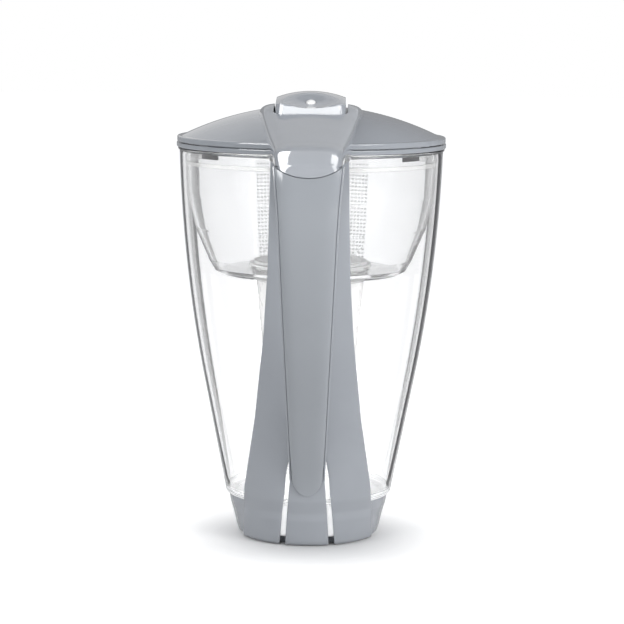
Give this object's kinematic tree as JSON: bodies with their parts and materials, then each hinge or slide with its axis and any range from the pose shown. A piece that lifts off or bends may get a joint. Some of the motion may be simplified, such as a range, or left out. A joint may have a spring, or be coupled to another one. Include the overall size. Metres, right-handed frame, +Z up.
{
  "type": "water filter pitcher",
  "caption": "Tall tapering glass water filter pitcher with a plastic spine, open loop handle, filter hopper and a rocking flip lid with a round indicator button.",
  "frame": {"origin": "centre of the round foot at the face it rests on", "axes": "+Z up along the jug, +Y toward the pouring lip, -Y toward the handle, +X to the right seen from the handle side"},
  "size_m": [0.1606, 0.2309, 0.268],
  "materials": {
    "clear_glass": "clear polished",
    "slate_plastic": "glossy",
    "grip_plastic": "glossy",
    "foot_rubber": "matt",
    "frosted_plastic": "frosted",
    "grey_silicone": "satin",
    "dark_plastic": "matt",
    "screen_plastic": "frosted, perforated",
    "white_plastic": "satin",
    "pale_silicone": "satin",
    "filter_grain": "granular",
    "pale_mesh": "woven",
    "pin_steel": "drawn",
    "lens_plastic": "translucent white",
    "module_plastic": "moulded",
    "cell_steel": "rolled"
  },
  "bodies": {
    "jug": {"glass_jug": "clear_glass", "base_shell": "slate_plastic", "foot_pad": "foot_rubber", "rear_spine": "slate_plastic", "top_collar": "slate_plastic", "handle_frame": "slate_plastic", "grip_cover": "grip_plastic"},
    "hopper": {"hopper": "frosted_plastic", "hopper_seal": "pale_silicone", "hopper_lug_left": "dark_plastic", "hopper_lug_right": "dark_plastic", "spout_screen": "screen_plastic"},
    "cartridge": {"cartridge_shell": "white_plastic", "cartridge_cap": "white_plastic", "cartridge_seal": "pale_silicone", "filter_media": "filter_grain", "cartridge_mesh": "pale_mesh"},
    "lid": {"lid_shell": "slate_plastic", "lid_hood": "slate_plastic", "lid_seal": "grey_silicone", "flap_pin_left": "pin_steel", "flap_pin_right": "pin_steel"},
    "flap": {"fill_flap": "slate_plastic", "flap_seal": "pale_silicone", "indicator_module": "module_plastic", "coin_cell": "cell_steel"},
    "button": {"indicator_lens": "lens_plastic"}
  },
  "joints": [
    {"name": "hopper_lift", "type": "slide", "parent": "jug", "child": "hopper", "axis": [0, 0, 1], "range_m": [0, 0.19]},
    {"name": "cartridge_lift", "type": "slide", "parent": "hopper", "child": "cartridge", "axis": [0, 0, 1], "range_m": [0, 0.18]},
    {"name": "lid_lift", "type": "slide", "parent": "cartridge", "child": "lid", "axis": [0, 0, 1], "range_m": [0, 0.06]},
    {"name": "flap_hinge", "type": "hinge", "parent": "lid", "child": "flap", "pos_m": [0, -0.0429, 0.2525], "axis": [1, 0, 0], "range_deg": [0, 50]},
    {"name": "button_press", "type": "slide", "parent": "flap", "child": "button", "axis": [0, 0.3754, -0.9269], "range_m": [0, 0.0007], "stiffness_N_per_m": 400}
  ]
}
